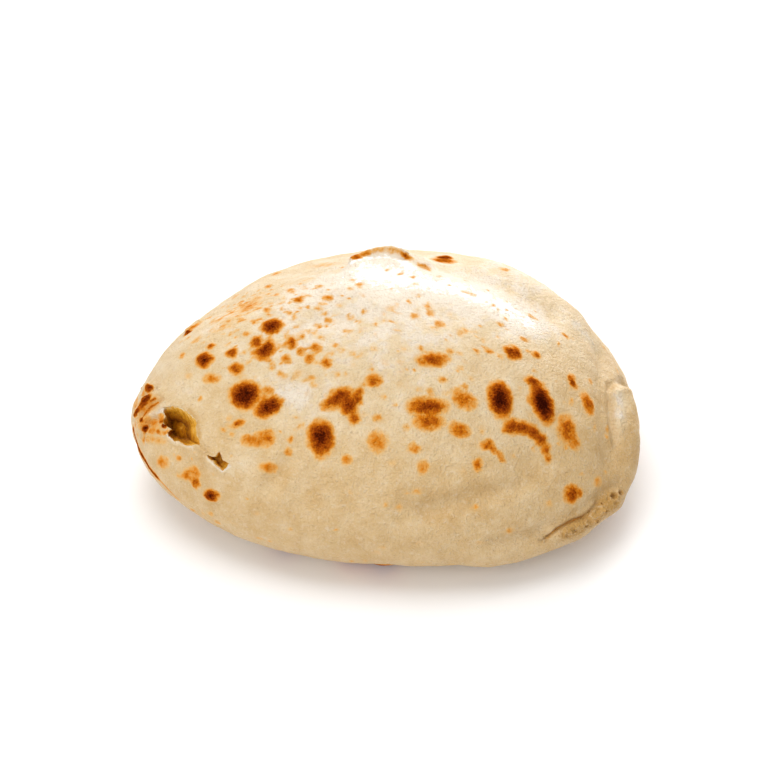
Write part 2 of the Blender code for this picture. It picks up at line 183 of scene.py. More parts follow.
# ---------------------------------------------------------------- scorching, read from the photograph
# (x, y, width, height, turn, char): x and y in pixels, the size as the camera sees it in mm, turn in degrees
# from level with plus rising to the right, char from 0 for bare dough to 1 for black.
SPOTS = (
    # the narrow half
    (271.3, 326.2, 10, 8, 0, 0.95), (256.3, 341.1, 5.5, 6, 0, 0.7), (265, 349.7, 11.5, 8.5, 45, 0.86),
    (291.4, 342.2, 5.5, 6.5, 0, 0.6), (301.9, 336.5, 3.4, 3.6, 0, 0.42), (301.1, 350.9, 5, 4.5, 0, 0.52),
    (316, 348, 5.6, 5, 0, 0.52), (309.2, 358.9, 5, 5.5, 0, 0.52), (326.4, 362.9, 5, 5, 0, 0.54),
    (286.2, 358.9, 5, 4.5, 0, 0.46), (279.9, 373.2, 4, 3.5, 0, 0.25), (297.7, 373.2, 4.5, 3.5, 0, 0.22),
    (309.7, 378.4, 6.5, 3, 15, 0.28), (315.5, 333, 3, 2.5, 0, 0.15), (338.4, 349.1, 2.5, 2.5, 0, 0.18),
    (352.8, 352.6, 3, 3, 0, 0.18), (203.5, 359.5, 9, 8, 0, 0.93), (211.6, 346.3, 5, 3, 20, 0.62),
    (231.7, 352.6, 6, 6, 0, 0.7), (235.7, 369.2, 7.5, 6.5, -15, 0.64), (242.6, 352.6, 2.5, 2.5, 0, 0.25),
    (246, 334.2, 4, 3.5, 0, 0.35), (231.1, 333.6, 2.5, 2, 0, 0.3), (237.4, 329.6, 2.5, 2, 0, 0.35),
    (254, 322.1, 3, 2.5, 0, 0.42), (267.3, 310.1, 4, 4, 0, 0.38), (248.9, 306.1, 10, 6, 40, 0.36),
    (228, 322, 20, 7, 42, 0.13), (256, 300, 12, 6, 40, 0.14),
    (298.3, 299.8, 5.5, 4, 15, 0.55), (327.5, 298, 5.5, 3.5, 0, 0.4), (327.5, 320, 3.5, 4, 0, 0.32),
    (211.6, 378.4, 8, 5.5, 0, 0.42), (244.9, 395, 15, 13.5, 20, 1.05), (267.8, 391, 5.5, 4.5, 0, 0.47),
    (268.4, 407.1, 14.5, 9, 32, 0.94), (238, 423.8, 7, 3.8, 25, 0.6), (229.4, 418, 3, 2.5, 0, 0.25),
    (232.2, 434.7, 3, 2.5, 0, 0.28), (249, 440, 8, 6, 10, 0.42), (258, 441, 8, 5, 15, 0.4),
    (267, 437.5, 7.5, 8, 30, 0.52), (256, 435, 12, 3, 25, 0.3),
    (334, 401, 14, 7, 30, 0.56), (341, 396, 12, 8, 20, 0.74), (349.5, 405, 9, 11, -25, 0.8),
    (357, 397, 6, 8, 20, 0.6), (354.5, 418.6, 5.5, 6, 0, 0.58),
    (359.1, 392.2, 3.5, 5, 0, 0.47), (331, 403, 6, 4, 30, 0.5), (320.6, 436.5, 13, 15, 0, 1.0),
    (321, 449, 9, 9, 0, 0.55),
    (290.8, 439.3, 3, 3.5, 0, 0.42), (288.5, 451.9, 4, 4, 0, 0.35), (300.5, 426, 5, 2, 30, 0.28),
    (296, 417.4, 3, 2, 0, 0.2), (347, 459.9, 5, 4.5, 0, 0.4), (268.4, 467.4, 8, 5, 0, 0.43),
    (187, 474.5, 8, 5, 25, 0.42), (195, 473, 5, 6, 35, 0.44), (195.5, 482.5, 4, 6, 0, 0.56),
    (210.9, 495.4, 8, 6, 0, 0.93),
    (162.5, 462.5, 7, 6, 0, 0.4), (188.6, 375.5, 4, 3.5, 0, 0.16),
    # the scorched knob at the tip
    (148.2, 387.7, 5, 4.6, 0, 0.84), (141, 388.5, 1.4, 2.4, 0, 1.05), (145.6, 399.4, 7.5, 4, 35, 1.0),
    (140, 404, 4, 2.4, 50, 0.6), (137, 411, 6.5, 2.8, 65, 0.74), (143, 408, 9, 8, 40, 0.3),
    (141, 423, 8, 8, 0, 0.28), (154, 427, 10, 7, 0, 0.26),
    (149, 409, 6, 2, 35, 0.42), (141.2, 420.2, 4, 2.4, 20, 0.9), (147, 420, 4, 5, 0, 0.26),
    (145.4, 428, 3.4, 4.6, 0, 0.95), (143.8, 438, 1.8, 6, 0, 0.5), (153, 423.5, 5, 3.4, 0, 0.44),
    (160.5, 420, 3, 4, 60, 0.55), (165, 424.5, 3, 3, 0, 0.9), (161, 416, 3, 2, 0, 0.34),
    (151, 431, 5, 3, 0, 0.4), (158, 432, 4, 3, 0, 0.52), (165, 431.5, 4, 2.6, 0, 0.38),
    (150, 439, 8, 4, 0, 0.28), (160, 441, 8, 4, 0, 0.24), (143, 393, 4, 4, 0, 0.3),
    (148, 403, 12, 10, 40, 0.27), (136, 404, 4, 14, 10, 0.3), (135, 424, 4, 6, 0, 0.34),
    (188, 332, 4, 2.4, 45, 1.0), (195, 326, 9, 2.2, 38, 0.42), (195.5, 340.5, 5, 2, 30, 0.3),
    (182, 355.4, 3, 4, 0, 0.38),
    # the middle
    (432.7, 359.3, 15.5, 7, 0, 0.62), (433, 363, 7, 3, 0, 0.72), (374.1, 380.5, 8, 6.5, 0, 0.55),
    (377.6, 441.9, 9, 10, 0, 0.43), (377.3, 418.4, 4.5, 4, 0, 0.38), (383.9, 397.7, 4, 2.5, 0, 0.25),
    (427.4, 406.5, 19, 9, 0, 0.72), (428, 409, 11, 3, 0, 0.66), (429.2, 421.8, 14, 8, 0, 0.58),
    (443, 379.9, 4.5, 4, 0, 0.35),
    (418.9, 389.7, 3.5, 3, 0, 0.22), (461.4, 369, 3, 2.5, 0, 0.3), (463.7, 398.9, 12.5, 8, -35, 0.52),
    (459.6, 429.9, 10, 6.5, -25, 0.54), (489.5, 351.2, 5, 3, -15, 0.45), (414.9, 448.8, 6.5, 4, 0, 0.42),
    (422.9, 467.2, 5.5, 6.5, 0, 0.45), (406.3, 427.6, 3.5, 3, 0, 0.3), (392.5, 463.8, 4, 4, 0, 0.15),
    (399.4, 507.4, 4, 4, 0, 0.25), (475, 507.4, 3.5, 3, 0, 0.38), (462.5, 471, 4, 2.5, 0, 0.12),
    (352.9, 353, 3.5, 3.5, 0, 0.2), (404.5, 349, 3, 2.5, 0, 0.15), (384.4, 363.3, 4, 4, 0, 0.12),
    (460.8, 333.4, 3, 2.5, 0, 0.2), (475, 331.9, 2.5, 2.5, 0, 0.18), (482, 431.6, 2.5, 2.5, 0, 0.22),
    # the broad half
    (513.6, 352.4, 9.5, 6.5, -30, 0.82), (524.3, 339, 4.5, 2.6, -30, 0.48), (536.7, 354.8, 5.5, 4, -30, 0.52),
    (500.4, 398.9, 11.8, 18, 8, 1.08), (542.4, 403, 10, 21, 16, 1.2), (533, 382, 8, 5, -30, 0.74),
    (530, 400, 4, 5, 0, 0.4),
    (486.6, 444.8, 7, 5, 0, 0.56), (493, 450, 6, 3.4, -45, 0.52), (500.5, 456.5, 6, 2.6, -50, 0.46),
    (478, 464.3, 5, 6.5, 0, 0.5), (514.2, 426.4, 9.5, 8, 0, 0.7), (524, 428, 8, 7, -15, 0.72),
    (534, 433, 8, 6.5, -35, 0.7), (541, 440, 7, 6, -50, 0.66), (546, 449, 4.5, 7, -5, 0.56),
    (547.5, 457, 3, 6, 0, 0.48), (506, 430, 5, 4, 0, 0.42), (572.9, 381.6, 4.2, 8, 20, 0.76),
    (587.6, 403, 6, 12, 20, 0.6), (566.9, 429.1, 9.5, 13.5, 0, 0.6), (574.5, 442, 6, 8, 20, 0.5),
    (571.6, 401.6, 2.5, 4, 0, 0.3), (590.3, 380.9, 3, 3.5, 0, 0.26), (607.7, 429.1, 2, 4, 0, 0.28),
    (595, 426.4, 1.6, 5, 0, 0.22), (571.6, 494, 8, 9, 0, 0.68), (579, 493, 4.5, 5, 0, 0.55),
    (598.3, 481.3, 4, 5.5, 0, 0.38), (548.8, 504.1, 3, 3.5, 0, 0.2), (558.2, 444.5, 3, 2.5, 0, 0.22),
    (533.4, 449.2, 2.5, 3, 0, 0.26), (518.8, 387.4, 2, 2.5, 0, 0.2), (510, 531, 4, 3.5, 0, 0.32),
    (596.6, 521.5, 4, 2.5, 20, 0.2), (605.7, 511, 2.5, 2, 0, 0.22),
    # the far side and the top
    (444, 260, 13, 4.4, 0, 0.62), (444.5, 257.4, 9, 2.6, 0, 0.95), (405, 255.5, 8, 3.2, -32, 0.6),
    (424.5, 266.5, 7.5, 3, -24, 0.46),
    (357, 256.5, 6, 3.4, 12, 0.6), (365, 253.5, 7, 3, 15, 0.42), (379, 250, 8, 3, 12, 0.26),
    (392, 251, 8, 3, -5, 0.2), (324.1, 264.9, 17, 3, 3, 0.2), (275.9, 273.6, 5, 2, 20, 0.34),
    (465.9, 291.9, 4.5, 2, -10, 0.24), (414.7, 315.8, 4.5, 3.5, 0, 0.3), (430.2, 312.2, 4, 4, 0, 0.36),
    (439.3, 324.9, 4.5, 3.5, 0, 0.42), (460.3, 333.3, 3, 2.5, 0, 0.28), (501, 324.2, 4, 3, 0, 0.36),
    (532.5, 317, 6, 2, -30, 0.3), (565.5, 335.4, 5.5, 2, -38, 0.47), (559, 343.8, 2, 2, 0, 0.3),
    (449, 285.6, 3.5, 1.5, -10, 0.3), (416, 284, 4, 2, 0, 0.2), (505, 269, 6, 1.6, -5, 0.34),
    (290.8, 289.9, 5, 2.5, 0, 0.35), (267.9, 286.5, 3.5, 2.5, 0, 0.42), (275.9, 295.1, 3, 2, 0, 0.3),
    (258.7, 290.5, 2, 2, 0, 0.26), (305.2, 288.8, 2, 1.5, 0, 0.3), (314.4, 288.8, 2, 1.5, 0, 0.3),
    (350, 288.2, 3, 2.5, 0, 0.3), (360.3, 287, 2, 1.5, 0, 0.25), (390.7, 308.9, 5, 3, 0, 0.2),
    (397.6, 305.4, 2, 1.5, 0, 0.32), (340.2, 306, 3, 2.5, 0, 0.2),
)
SPOT_DEPTH = 1.9  # a spot's reach along the view, as a share of its larger half-size
SPOT_HALO = 1.45  # how far a spot's soft edge goes, in half-sizes
SPOT_TIGHTEN, SPOT_EVEN_CHAR = 0.22, 0.4  # less far for more char than the even one, farther for less
SPOT_FALL = 1.3  # how soon a spot's char falls away from its centre
SPOT_RISE, SPOT_RISE_CHAR = 1.15 * MM, (0.15, 1.0)  # a scorched spot is a low blister
SPOT_WARP, SPOT_WARP_SCALE = 1.0 * MM, 3.6 * MM  # how far noise bends a spot's outline
# Thin scorched or toasted lines in pixels, and one line of painted shade in the lip's crease: (line, reach,
# char).
SCORCHED_AND_SHADED_LINES = (
    (((133.4, 429), (139.4, 450), (148.1, 465.6), (157.2, 477)), 1.5 * MM, 0.85),  # lower left side
    (((157, 477), (166, 487), (178, 499)), 0.8 * MM, 0.4),
    (((155, 398.5), (146, 403.5), (137, 411), (134, 416)), 0.8 * MM, 0.62),  # folds of the knob
    (((158, 402.5), (149.5, 408), (144, 416), (140, 420)), 0.7 * MM, 0.5),
    # painted shade in the crease over the blistered lip
    (LIP_CREASE, 0.5 * MM, 0.28),
    (((354, 256.5), (366, 252.5), (380, 249.5), (391, 249), (402, 253), (412, 259)), 1.7 * MM, 0.2),  # flap
)
# Paler, floury places in pixels, or more golden ones where the share is below nothing: (line, reach, share).
# Some of them are painted light instead: painted highlights where the light catches, and painted shade,
# darker, in creases, hollows and along shaded edges.
FLOURY_AND_PAINTED_LIGHT_LINES = (
    # painted highlight on the top end and the face of the rolled rim
    (((617, 395), (620, 402), (620, 414)), 4.6 * MM, 1.0),
    (((620, 416), (620, 430), (618, 446)), 3.5 * MM, 0.5),
    # painted highlight on the bump of the scorched knob
    (((150, 414), (157, 413), (163, 410)), 1.3 * MM, 0.6),
    # painted shade along the upper right edge of the large tear
    (((189, 410), (196, 418), (198.5, 428), (199, 437)), 1.3 * MM, -0.9),
    # painted light: the flap's front face is made white where it falls into shade
    (((352, 262), (368, 258), (384, 256), (400, 260), (412, 267)), 2.6 * MM, 0.8),
    # paler torn edges of both tears, lightened further by a painted highlight where the lower edges catch the
    # light
    (((162, 425), (167, 435), (173, 441), (182, 445), (192, 447)), 0.8 * MM, 0.9),
    (((207, 458), (214, 465), (222, 471.5), (229, 466)), 0.8 * MM, 0.9),
    (((566, 534), (586, 524), (600, 514), (612, 502)), 4.0 * MM, -1.3),
    # painted shade, darker and golden, in the crease over the lip
    ((*LIP_CREASE, (590, 511)), 0.9 * MM, -1.0),
    # painted shade inside the burst bubbles
    (((613.6, 496), (620.4, 493)), 1.6 * MM, -1.0),
    (((480, 345), (520, 350), (560, 372)), 16 * MM, -0.35),
    (((205, 350), (235, 330), (262, 300), (290, 285)), 13 * MM, -0.4),
    (((172, 398), (188, 388), (205, 402)), 10 * MM, 0.3),
    (((305, 290), (340, 280), (385, 288)), 9 * MM, 0.5),
    # painted highlight: the bright white patch over the top and its right end
    (((370, 271), (410, 279), (450, 287), (490, 300), (526, 322)), 10 * MM, 1.2),
    (((577, 324), (592, 342)), 5 * MM, 0.5),
    (((285, 392), (300, 402), (314, 412)), 8 * MM, 0.5),
    (((212, 398), (230, 405)), 8 * MM, -0.3),
    # painted shade in the soft valley across the front
    (((440, 500), (470, 500)), 14 * MM, -0.25),
    # painted highlight on the soft wrinkles of the front
    (((230, 470), (243, 462), (252, 458)), 5 * MM, 0.5),
)

# The dough is more golden low down, in front and to the right. This is partly real browning and partly
# painted shade on the sides away from the light, and the top is painted paler where the light falls. It
# changes between these Z, Y and X.
TOAST_AND_LIGHT_LOW, TOAST_AND_LIGHT_FRONT, TOAST_AND_LIGHT_RIGHT = (52 * MM, 94 * MM), (-45 * MM, -2 * MM), (60 * MM, 125 * MM)
LOW_SHARE, FRONT_SHARE, RIGHT_SHARE = 0.7, 0.32, 0.3

# Spots where the photograph doesn't reach, drawn at random: (number, diameter from, to, char from, to).
HIDDEN_SPOTS = ((26, 7 * MM, 17 * MM, 0.62, 1.0), (40, 3.5 * MM, 8 * MM, 0.3, 0.7))
FRECKLES = 430
FRECKLE_SIZE = (1.2 * MM, 3.6 * MM)
FRECKLE_CHAR = (0.1, 0.38)
# Freckles are drawn more often near some places: (x, y, reach, number).
FRECKLE_CLUSTERS = ((290, 325, 45 * MM, 300), (236, 312, 26 * MM, 150), (450, 330, 50 * MM, 120))
SPOT_SEED = 41
HIDDEN_SINES, FRECKLE_SINES = (-0.98, 0.98), (-0.9, 1)  # sines of their latitudes
HIDDEN_TURN = -0.12  # the skin is hidden where its outward direction leans this much away from the camera
HIDDEN_LEAST_HEIGHT = 2 * MM

# ---------------------------------------------------------------- tears and cheese
# Each tear's middle, and its torn edge in pixels.
TEARS = {
    "large_tear": ((-150, 29.7), (
        (163.1, 408.1), (166.9, 407.0), (171.4, 405.4), (176.9, 406.5), (182.4, 408.1), (187.9, 411.4),
        (192.3, 415.3), (195.1, 419.2), (196.7, 423.6), (195.8, 429.6), (197.3, 436.8), (200.0, 441.2),
        (201.2, 445.1), (195.6, 444.0), (191.2, 445.4), (185.7, 445.4), (182.4, 443.2), (179.1, 441.0),
        (174.7, 441.6), (172.5, 438.8), (168.6, 436.6), (167.5, 432.4), (171.2, 429.1), (166.9, 425.8),
        (162.5, 423.6), (163.6, 419.2), (165.8, 415.8), (163.6, 412.5),
    )),
    "small_tear": ((-132.5, 25.6), (
        (207.0, 455.4), (211.0, 456.4), (215.4, 456.8), (217.4, 453.4), (219.6, 451.2), (220.9, 455.6),
        (222.4, 459.6), (225.6, 461.6), (228.8, 463.4), (227.2, 466.8), (224.6, 468.6), (222.0, 470.6),
        (218.4, 467.4), (214.4, 464.2), (213.2, 461.2), (209.6, 459.4),
    )),
}
# Each tear's walls: (height over the skin, scale of the outline, shift along and up the slope), in mm.
TEAR_WALLS = {
    "large_tear": (
        (8.0, 1.05, 0, 0), (0.8, 1.02, 0, 0), (0.0, 1.0, 0, 0), (-0.7, 0.98, -0.3, -0.3),
        (-1.5, 0.95, -0.9, -0.6), (-2.6, 0.89, -1.9, -1.1), (-4.0, 0.81, -3.0, -1.7), (-5.6, 0.7, -4.3, -2.4),
        (-7.6, 0.5, -6.2, -3.2), (-10.8, 0.44, -6.6, -3.4),
    ),
    "small_tear": (
        (8.0, 1.06, 0, 0), (0.8, 1.03, 0, 0), (0.0, 1.0, 0, 0), (-0.8, 0.95, -0.2, -0.1),
        (-1.6, 0.87, -0.5, -0.3), (-2.4, 0.76, -1.0, -0.5), (-3.4, 0.6, -1.6, -0.8),
    ),
}
TEAR_CUTS = 3  # pieces of each side of a torn edge
TEAR_JAG, TEAR_ROUGH = 0.24, 0.22  # jitter of the torn edge and of its walls, in mm
TEAR_SEED = 8
EDGE_CURL, EDGE_CURL_REACH = 0.7 * MM, 2.2 * MM  # how far the torn edges stand up
EDGE_CURL_RADIUS = 30 * MM  # from a tear's middle; nothing farther out stands up
TORN_DEPTH = 0.3 * MM  # what lies deeper has no char
# The cheese's mesh is halved this often near the tears, in a radius that is smaller by a step each time.
CHEESE_FINE_TIMES, CHEESE_FINE_RADIUS, CHEESE_FINE_STEP = 4, 24 * MM, 2 * MM
CHEESE_RELIEF = ((1.0 * MM, 6 * MM), (0.6 * MM, 2.4 * MM))  # height and size of its waves
CHEESE_SWELL, CHEESE_SWELL_REACH = 0.8 * MM, 15 * MM  # how far it swells up under the tears
CHEESE_FACING = 0.3  # only what faces the tears this much has relief
CHEESE_SEED = 31


# ================================================================ form
def smooth_step(low, high, value):
    share = np.clip((value - low) / (high - low), 0, 1)
    return share * share * (3 - 2 * share)


def bell(distance, reach):
    return np.exp(-((distance / reach) ** 2))


def turn_from(azimuth, place_deg):
    return (np.degrees(azimuth) - place_deg + 180) % 360 - 180


def seam_outline(azimuth):
    """The seam seen from above: a teardrop whose two ends bend towards -Y."""
    swell = 1 + sum(share * bell(turn_from(azimuth, at), wide) for at, wide, share in OUTLINE_SWELLS)
    x = LENGTH / 2 * swell * np.cos(azimuth)
    y = WIDTH / 2 * swell * np.sin(azimuth) * (1 + TAPER * np.cos(azimuth))
    bend = np.where(x < 0, BEND_NARROW, BEND_BROAD) * (x / (LENGTH / 2)) ** 2
    return x, y - bend


def smooth_skin(azimuth, latitude):
    """Points of the bread's skin without its relief, for arrays of azimuth and latitude in radians."""
    x, y = seam_outline(azimuth)
    level, climb = np.cos(latitude).clip(0), np.abs(np.sin(latitude))
    top = latitude > 0
    reach = np.where(top, level**TOP_FULLNESS, level**BASE_FULLNESS)
    seam = SEAM_HEIGHT * (1 + NARROW_END_LIFT * bell(turn_from(azimuth, 180), NARROW_END_REACH))
    z = np.where(top, seam + (HEIGHT - seam) * climb**TOP_CLIMB, seam - (seam + BASE_SINK) * climb)
    lean = smooth_step(0, 1, np.where(top, climb, 0))
    points = np.stack([x * reach + APEX_SHIFT.x * lean, y * reach + APEX_SHIFT.y * lean, z.clip(0)], axis=1)
    return points + CENTRING


def skin_at(places):
    azimuth, latitude = np.radians(np.array(places, float)).T
    return smooth_skin(azimuth, latitude)


def outward_at(places, step_deg=0.5):
    """The smooth skin's outward unit normals at places."""
    places = np.array(places, float)
    along = skin_at(places + (step_deg, 0)) - skin_at(places - (step_deg, 0))
    up = skin_at(places + (0, step_deg)) - skin_at(places - (0, step_deg))
    normals = np.cross(along, up)
    return normals / np.linalg.norm(normals, axis=1)[:, None]


def distance_to_line(points, line):
    """Each point's distance to a line through the rows of an array."""
    if len(line) == 1:
        return np.linalg.norm(points - line[0], axis=1)
    nearest = np.full(len(points), np.inf)
    for start, end in zip(line, line[1:]):
        run = end - start
        share = np.clip((points - start) @ run / (run @ run), 0, 1)[:, None]
        nearest = np.minimum(nearest, np.linalg.norm(points - start - share * run, axis=1))
    return nearest


def route_line(route):
    """A route of places as a line on the smooth skin."""
    if len(route) == 1:
        return skin_at(route)
    stops = np.linspace(0, len(route) - 1, ROUTE_STEPS * (len(route) - 1) + 1)
    return skin_at(np.array([np.interp(stops, range(len(route)), column) for column in np.array(route).T]).T)


def relief_rise(points, relief):
    lines = [(route_line(route), reach, height) for route, reach, height in relief]
    return sum(height * bell(distance_to_line(points, line), reach) for line, reach, height in lines)


def waves(points, scale, seed):
    """Smooth noise from about -1 to 1 at each point, with waves of a size."""
    offset = Vector((seed, seed * 2, seed * 3))
    return np.array([noise.noise(Vector(p) / scale + offset) for p in points])


def noise_rise(points, relief, seed):
    """Layers of waves, each with its height, its size and a seed of its own."""
    return sum(height * waves(points, scale, seed + k) for k, (height, scale) in enumerate(relief))


def link_mesh(name, built):
    mesh = bpy.data.meshes.new(name)
    built.to_mesh(mesh)
    built.free()
    part = bpy.data.objects.new(name, mesh)
    bpy.context.scene.collection.objects.link(part)
    return part


def read_points(mesh):
    points = np.empty(len(mesh.vertices) * 3, np.float32)
    mesh.vertices.foreach_get("co", points)
    return points.reshape(-1, 3).astype(float)


def read_normals(mesh):
    return np.array([item.vector[:] for item in mesh.vertex_normals])


def move_vertices(part, points):
    part.data.vertices.foreach_set("co", np.asarray(points, np.float32).ravel())
    part.data.update()


# ================================================================ places by pixel
class Sight:
    """The photograph's camera, and the skin that its rays meet."""

    def __init__(self):
        tilt = math.radians(CAMERA_ELEVATION)
        self.back = Vector((0, -math.cos(tilt), math.sin(tilt)))
        self.right = Vector((1, 0, 0))
        self.up = self.back.cross(self.right)
        self.origin = CAMERA_TARGET + self.back * CAMERA_DISTANCE
        self.tree = None

    def look_at_skin(self, mesh):
        points = [vertex.co for vertex in mesh.vertices]
        self.tree = BVHTree.FromPolygons(points, [polygon.vertices for polygon in mesh.polygons])

    def direction(self, x, y):
        scale = CAMERA_SENSOR / CAMERA_LENS / IMAGE_SIZE
        across, rise = (x - IMAGE_SIZE / 2) * scale, (IMAGE_SIZE / 2 - y) * scale
        return (self.right * across + self.up * rise - self.back).normalized()

    def place(self, x, y):
        """The point of the skin that shows at a pixel, or the nearest one where the ray just misses it."""
        ray = self.direction(x, y)
        hit = self.tree.ray_cast(self.origin, ray)[0]
        if hit is None:
            near = self.origin + ray * (CAMERA_TARGET - self.origin).dot(ray)
            for _ in range(NEAREST_ROUNDS):
                hit = self.tree.find_nearest(near)[0]
                near = self.origin + ray * (hit - self.origin).dot(ray)
        return np.array(hit)

    def line(self, pixels):
        return np.array([self.place(x, y) for x, y in pixels])


# ================================================================ the skin's mesh
def halve_near(built, centre, radius, longest):
    """Halves the edges near a centre till none of them is too long on the skin."""
    for _ in range(FINE_ROUNDS):
        built.verts.index_update()
        skin = smooth_skin(*globe_angles(np.array([vertex.co[:] for vertex in built.verts])))
        near = np.linalg.norm(skin - centre, axis=1) < radius
        ends = np.array([[vertex.index for vertex in edge.verts] for edge in built.edges])
        lengths = np.linalg.norm(skin[ends[:, 0]] - skin[ends[:, 1]], axis=1)
        chosen = near[ends].any(axis=1) & (lengths > longest)
        if not chosen.any():
            return
        edges = [edge for edge, long in zip(built.edges, chosen) if long]
        bmesh.ops.subdivide_edges(built, edges=edges, cuts=1, use_grid_fill=True)
        for vertex in built.verts:
            vertex.co.normalize()


def globe_angles(directions):
    return np.arctan2(directions[:, 1], directions[:, 0]), np.arcsin(directions[:, 2].clip(-1, 1))


def six_sided_sphere(cells, lift=0.0):
    built = bmesh.new()
    bmesh.ops.create_cube(built, size=2)
    bmesh.ops.subdivide_edges(built, edges=built.edges[:], cuts=cells - 1, use_grid_fill=True)
    for vertex in built.verts:
        vertex.co = Vector([math.tan(c * math.pi / 4) for c in vertex.co]).normalized()
        vertex.co.z += lift
        vertex.co.normalize()
    return built


def make_plain_skin(name, built):
    """The skin with the folds that the part's source has."""
    bmesh.ops.triangulate(built, faces=built.faces[:])
    skin = link_mesh(name, built)
    points = smooth_skin(*globe_angles(read_points(skin.data)))
    move_vertices(skin, points)
    normals = read_normals(skin.data)
    offset = Vector((UNDULATION_SEED,) * 3)
    rise = relief_rise(points, BROAD_RELIEF + FOLDS)
    rise += UNDULATION * np.array([noise.noise(Vector(p) / UNDULATION_SCALE + offset) for p in points])
    points = points + normals * (rise * smooth_step(0, FLAT_FADE, points[:, 2]))[:, None]
    points[:, 2] = points[:, 2].clip(0)
    move_vertices(skin, points)
    return skin


# ================================================================ scorching
def spot_profile(away):
    """A spot's char, from 1 at its centre to 0 where its halo ends, at distances in half-sizes."""
    return (1 - (away / SPOT_HALO) ** 2).clip(0) ** SPOT_FALL


def seen_axes(sight, wide, high, turn):
    angle = math.radians(turn)
    across = sight.right * math.cos(angle) + sight.up * math.sin(angle)
    rise = sight.up * math.cos(angle) - sight.right * math.sin(angle)
    deep = max(wide, high) / 2 * SPOT_DEPTH
    return np.array([across / (wide / 2), rise / (high / 2), sight.back / deep])


def warped(points, amount, scale, seed):
    """Points shifted by smooth noise, which makes round spots irregular."""
    noise.seed_set(WARP_SEED)  # else the clock seeds the vector noise
    shift = [Vector(noise.noise_vector(Vector(p) / scale + Vector((seed,) * 3)))[:] for p in points]
    return points + amount * np.array(shift)


def spot_field(points, sight):
    """How scorched the spots make each point, from 0 for bare dough to 1 for black."""
    bent = warped(points, SPOT_WARP, SPOT_WARP_SCALE, NOISE_SEED)
    char = np.zeros(len(points))
    for x, y, wide, high, turn, strength in SPOTS:
        axes = seen_axes(sight, wide * MM, high * MM, turn)
        away = np.linalg.norm((bent - sight.place(x, y)) @ axes.T, axis=1)
        away *= 1 + SPOT_TIGHTEN * (strength - SPOT_EVEN_CHAR)
        char = join_char(char, strength * spot_profile(away))
    return join_char(char, drawn_spots(bent, sight))


def char_field(points, sight):
    """How scorched each point is, with the scorched lines and the painted shade in the lip's crease."""
    char = spot_field(points, sight)
    for pixels, reach, strength in SCORCHED_AND_SHADED_LINES:
        char = join_char(char, strength * bell(distance_to_line(points, sight.line(pixels)), reach))
    return char


def join_char(first, second):
    """Two layers of char together, a little more than the larger of them."""
    return (first**4 + second**4) ** 0.25


def drawn_spots(points, sight):
    """The freckles all over, and the spots on the sides that the photograph doesn't show."""
    draw = np.random.default_rng(SPOT_SEED)
    char = np.zeros(len(points))
    for number, least, most, low, high in HIDDEN_SPOTS:
        made = 0
        while made < number:
            place = (draw.uniform(-180, 180), math.degrees(math.asin(draw.uniform(*HIDDEN_SINES))))
            centre, outward = skin_at([place])[0], outward_at([place])[0]
            size, strength = draw.uniform(least, most), draw.uniform(low, high)
            if outward @ np.array(sight.back) > HIDDEN_TURN or centre[2] < HIDDEN_LEAST_HEIGHT:
                continue
            made += 1
            away = np.linalg.norm(points - centre, axis=1) / (size / 2)
            char = join_char(char, strength * spot_profile(away))
    for x, y, reach, number in ((0, 0, None, FRECKLES), *FRECKLE_CLUSTERS):
        for _ in range(number):
            centre = freckle_place(draw, sight, x, y, reach)
            size, strength = draw.uniform(*FRECKLE_SIZE), draw.uniform(*FRECKLE_CHAR)
            away = np.linalg.norm(points - centre, axis=1) / (size / 2)
            char = join_char(char, strength * spot_profile(away))
    return char


def freckle_place(draw, sight, x, y, reach):
    """A place drawn near a pixel, or anywhere on the skin where no reach is given."""
    if reach is None:
        place = (draw.uniform(-180, 180), math.degrees(math.asin(draw.uniform(*FRECKLE_SINES))))
        return skin_at([place])[0]
    near = sight.place(x, y) + draw.normal(0, reach / 2, 3)
    return np.array(sight.tree.find_nearest(Vector(near))[0])


# ================================================================ fine relief
def bubble_rise(points, sight):
    rise = np.zeros(len(points))
    for x, y, radius in BUBBLES:
        away = np.linalg.norm(points - sight.place(x, y), axis=1)
        rise += radius * BUBBLE_RIM * bell(away - radius, radius * BUBBLE_RIM_REACH)
        rise -= radius * BUBBLE_SINK * bell(away, radius * BUBBLE_SINK_REACH)
    return rise


def crinkle(points, line, reach, height, scale):
    """Sharp little ridges along a line."""
    near = bell(distance_to_line(points, line), reach)
    chosen = near > CRINKLE_LEAST
    ridges = np.zeros(len(points))
    ridges[chosen] = CRINKLE_LEVEL - np.abs(waves(points[chosen], scale, CRINKLE_SEED))
    return height * near * ridges * CRINKLE_GAIN


def fine_rise(points, char, sight):
    rise = noise_rise(points, SKIN_NOISE, NOISE_SEED)
    for pixels, reach, height in FINE_FOLDS:
        rise += height * bell(distance_to_line(points, sight.line(pixels)), reach)
    rise += bubble_rise(points, sight)
    for route, reach, height in FAR_FOLDS:
        line = np.array([sight.tree.find_nearest(Vector(p))[0] for p in route_line(route)])
        rise += height * bell(distance_to_line(points, line), reach)
    for pixels, reach, height, scale in CRINKLES:
        rise += crinkle(points, sight.line(pixels), reach, height, scale)
    rise += SPOT_RISE * smooth_step(*SPOT_RISE_CHAR, char)
    return rise


# ================================================================ tears, pocket and cheese
def tear_axes(place):
    """A tear's middle on the smooth skin, and its directions along and up the slope and outward."""
    centre, outward = skin_at([place])[0], outward_at([place])[0]
    along = np.cross((0, 0, 1), outward)
    along /= np.linalg.norm(along)
    return centre, along, np.cross(outward, along), outward


